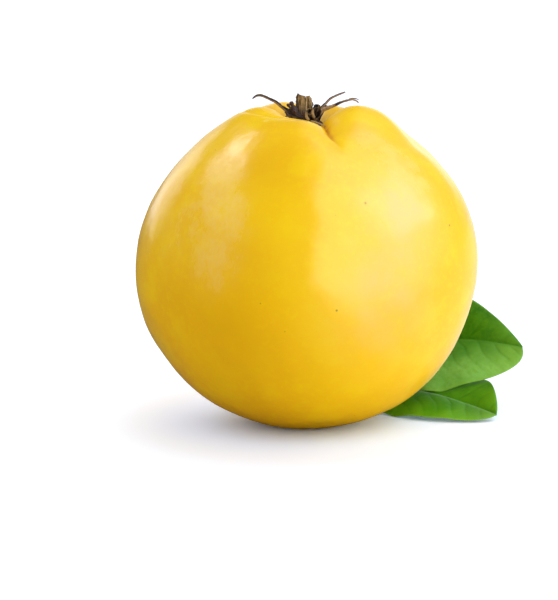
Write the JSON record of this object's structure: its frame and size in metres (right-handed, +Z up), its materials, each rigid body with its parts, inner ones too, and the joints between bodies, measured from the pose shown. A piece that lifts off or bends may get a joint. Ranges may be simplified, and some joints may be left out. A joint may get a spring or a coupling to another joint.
{
  "type": "quince",
  "caption": "Whole ripe quince standing on its stem end, with the dried calyx in its top and a short leafy twig below.",
  "frame": {"origin": "middle of the small flat spot that the fruit stands on", "axes": "+Z up through the fruit towards its calyx, +X towards the tips of the leaves, -Y towards the side that shows the front lobe of the crown"},
  "size_m": [0.1105, 0.0955, 0.0934],
  "materials": {
    "skin": "satin",
    "dried_calyx": "matte",
    "bark": "matte",
    "leaf": "satin"
  },
  "bodies": {
    "root": {"fruit": "skin", "calyx_cup": "dried_calyx", "sepal_left": "dried_calyx", "sepal_upright": "dried_calyx", "sepal_right_back": "dried_calyx", "sepal_right_front": "dried_calyx", "sepal_front": "dried_calyx", "style_1": "dried_calyx", "style_2": "dried_calyx", "style_3": "dried_calyx", "style_4": "dried_calyx", "style_5": "dried_calyx", "stamen_1": "dried_calyx", "stamen_2": "dried_calyx", "stamen_3": "dried_calyx", "stamen_4": "dried_calyx", "stamen_5": "dried_calyx", "stamen_6": "dried_calyx", "twig": "bark", "leaf_upper": "leaf", "leaf_lower": "leaf"}
  },
  "joints": []
}
